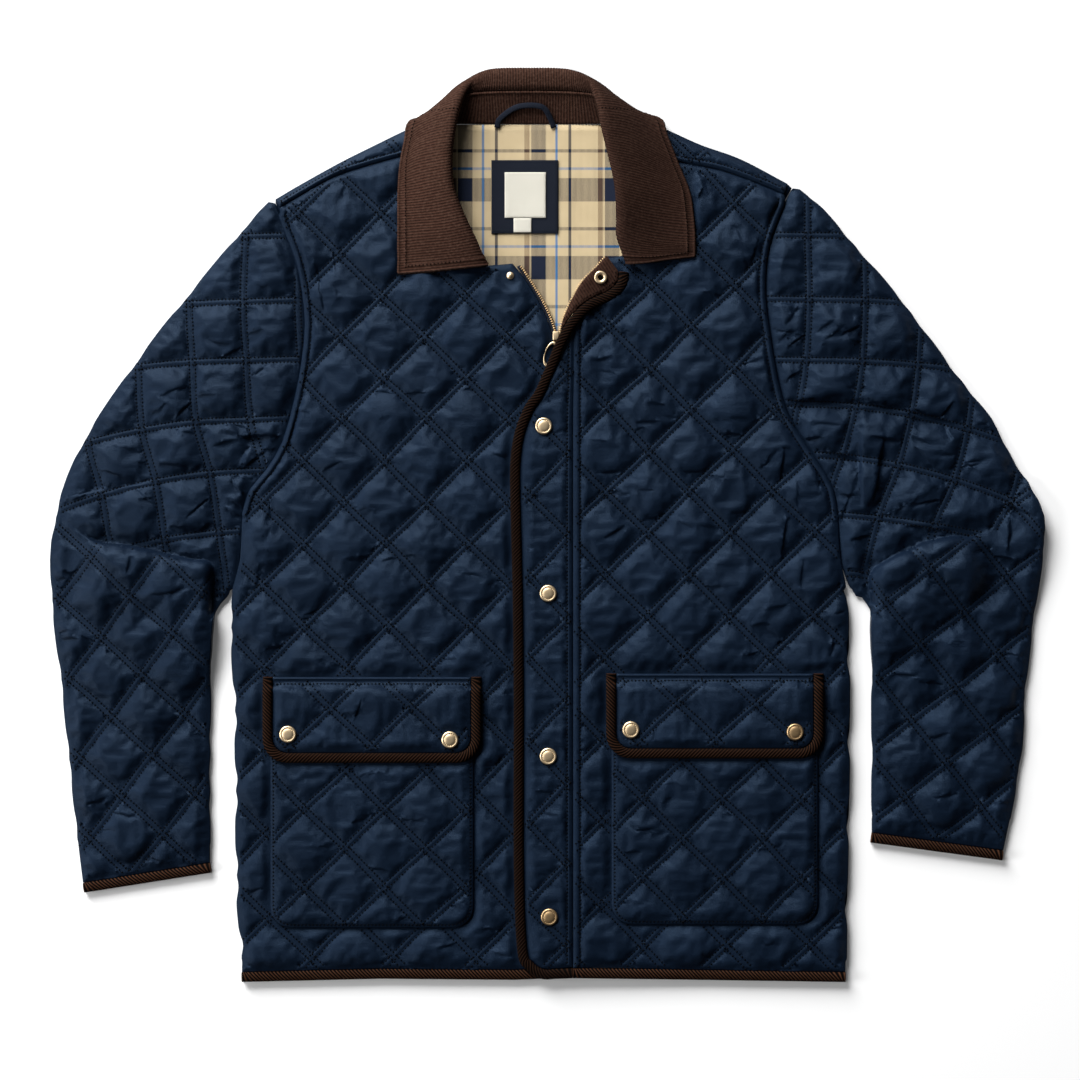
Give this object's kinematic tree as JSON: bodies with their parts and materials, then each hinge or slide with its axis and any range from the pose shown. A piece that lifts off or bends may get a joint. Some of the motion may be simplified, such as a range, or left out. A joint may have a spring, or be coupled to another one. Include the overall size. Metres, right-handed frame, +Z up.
{
  "type": "quilted jacket, laid flat",
  "caption": "Men's diamond-quilted field jacket laid flat on its back, with a corduroy collar, bound edges, snap placket over a zip, and flapped patch pockets.",
  "frame": {"origin": "on the surface that the jacket lies on, under the back, midway across the sleeves and about midway between hem and collar", "axes": "+X from one sleeve to the other, to the viewer's right, +Y towards the collar, +Z up, out of the jacket's front"},
  "size_m": [0.8924, 0.8211, 0.025],
  "materials": {
    "quilted_navy": "navy microfibre shell quilted over wadding, slight satin sheen",
    "plain_navy": "plain navy tape and twill",
    "brown_corduroy": "dark brown fine-wale corduroy",
    "brown_binding": "dark brown ribbed binding cut on the bias",
    "plaid_lining": "tan cotton check",
    "label_white": "off-white woven label, bare",
    "pale_brass": "pale brushed brass"
  },
  "bodies": {
    "root": {"back": "quilted_navy", "lining_back": "plaid_lining", "front_left": "quilted_navy", "front_right": "quilted_navy", "sleeve_left_top": "quilted_navy", "sleeve_left_under": "quilted_navy", "sleeve_right_top": "quilted_navy", "sleeve_right_under": "quilted_navy", "cuff_binding_left_top": "brown_binding", "cuff_binding_left_under": "brown_binding", "cuff_binding_right_top": "brown_binding", "cuff_binding_right_under": "brown_binding", "pocket_left": "quilted_navy", "pocket_right": "quilted_navy", "flap_left": "quilted_navy", "flap_right": "quilted_navy", "flap_left_binding": "brown_binding", "flap_right_binding": "brown_binding", "placket": "quilted_navy", "placket_binding": "brown_binding", "placket_facing": "brown_corduroy", "hem_binding_left": "brown_binding", "hem_binding_right": "brown_binding", "hem_binding_back": "brown_binding", "collar_stand": "brown_corduroy", "collar_fall": "brown_corduroy", "hanger_loop": "plain_navy", "label_patch": "plain_navy", "label": "label_white", "label_tab": "label_white", "zip_tape_left": "plain_navy", "zip_tape_right": "plain_navy", "zip_slider": "pale_brass", "zip_pull": "pale_brass", "snap_placket_1": "pale_brass", "snap_placket_2": "pale_brass", "snap_placket_3": "pale_brass", "snap_placket_4": "pale_brass", "snap_flap_left_a": "pale_brass", "snap_flap_left_b": "pale_brass", "snap_flap_right_a": "pale_brass", "snap_flap_right_b": "pale_brass", "snap_socket": "pale_brass", "snap_stud": "pale_brass"}
  },
  "joints": []
}
